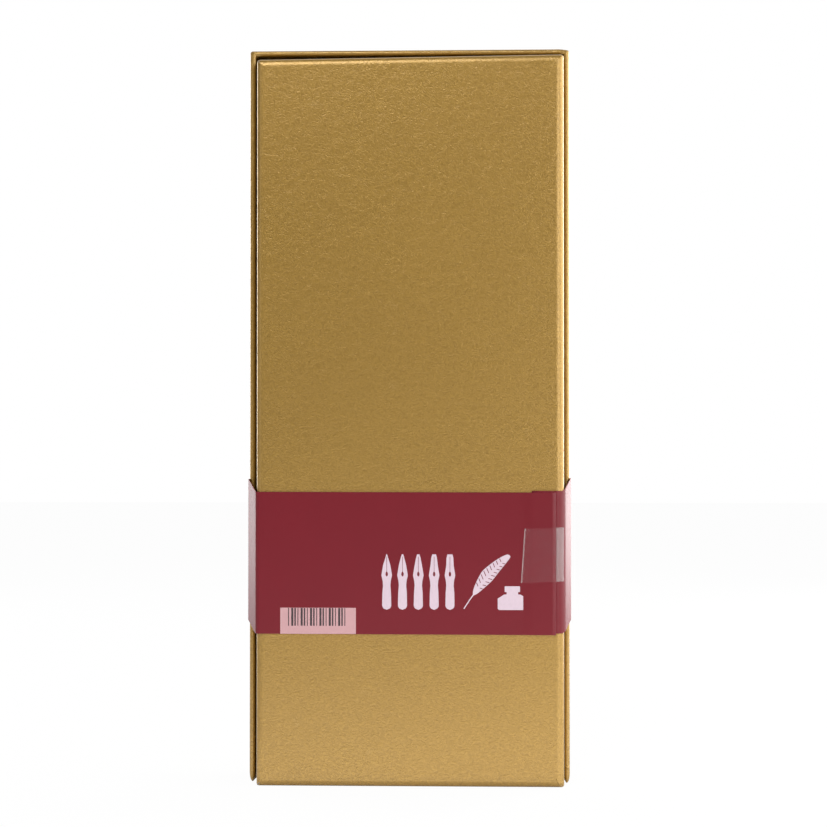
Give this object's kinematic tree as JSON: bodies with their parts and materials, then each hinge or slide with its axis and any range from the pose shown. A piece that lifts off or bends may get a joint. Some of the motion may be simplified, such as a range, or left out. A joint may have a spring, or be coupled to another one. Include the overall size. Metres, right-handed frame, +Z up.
{
  "type": "gift box",
  "caption": "Hinged gift box in gold leather-grain paper with a crimson paper band, holding a feather quill pen, spare nibs and a glass ink bottle.",
  "frame": {"origin": "centre of the foot, the hinged short end that the box stands on", "axes": "+Z up along the box, -Y out of the back that the band is closed on, +Y out of the lid's front"},
  "size_m": [0.1321, 0.0434, 0.3],
  "materials": {
    "grey_board": "raw grey board",
    "gold_paper": "satin leather-grain covering",
    "lining_paper": "plain lining",
    "foam": "flocked foam",
    "holder_brass": "polished",
    "quill": "horny",
    "feather": "matt barbs",
    "nib_steel": "bright",
    "glass": "clear",
    "ink": "liquid",
    "cap_liner": "matt",
    "cap": "gloss",
    "band_paper": "coated",
    "tape": "clear film"
  },
  "bodies": {
    "base": {"base_back_board": "grey_board", "base_left_wall": "grey_board", "base_right_wall": "grey_board", "base_head_wall": "grey_board", "spine_board": "grey_board", "base_cover": "gold_paper", "spine_cover": "gold_paper", "base_lining": "lining_paper", "insert_lower_sheet": "foam", "insert_upper_sheet": "foam", "nib_holder": "holder_brass", "quill_shaft": "quill", "quill_left_vane": "feather", "quill_right_vane": "feather", "spare_nib_fine": "nib_steel", "spare_nib_medium": "nib_steel", "spare_nib_broad": "nib_steel", "spare_nib_stub": "nib_steel", "spare_nib_italic": "nib_steel", "ink_bottle": "glass", "ink": "ink"},
    "lid": {"lid_front_board": "grey_board", "lid_left_wall": "grey_board", "lid_right_wall": "grey_board", "lid_head_wall": "grey_board", "lid_cover": "gold_paper", "lid_lining": "lining_paper"},
    "band": {"paper_band": "band_paper", "clear_tape": "tape"},
    "pen_nib": {"fitted_nib": "nib_steel"},
    "cap_seal": {"cap_liner": "cap_liner"},
    "cap": {"ink_cap": "cap"}
  },
  "joints": [
    {"name": "lid_hinge", "type": "hinge", "parent": "base", "child": "lid", "pos_m": [0, 0.0209, 0.0001], "axis": [-1, 0, 0], "range_deg": [0, 90], "deforming": ["paper_band", "clear_tape"]},
    {"name": "band_slide", "type": "slide", "parent": "base", "child": "band", "axis": [0, 0, 1], "range_m": [-0.06, 0.24]},
    {"name": "nib_pull", "type": "slide", "parent": "base", "child": "pen_nib", "axis": [0, 0, -1], "range_m": [0, 0.0145]},
    {"name": "cap_rise", "type": "slide", "parent": "base", "child": "cap_seal", "axis": [0, 0, 1], "range_m": [0, 0.00455]},
    {"name": "cap_turn", "type": "hinge", "parent": "cap_seal", "child": "cap", "pos_m": [0.032, -0.00375, 0.0575], "axis": [0, 0, 1], "range_deg": [0, 540]}
  ],
  "couplings": [
    {"joint": "cap_rise", "follows": "cap_turn", "m_per_rad": 0.00047746}
  ]
}
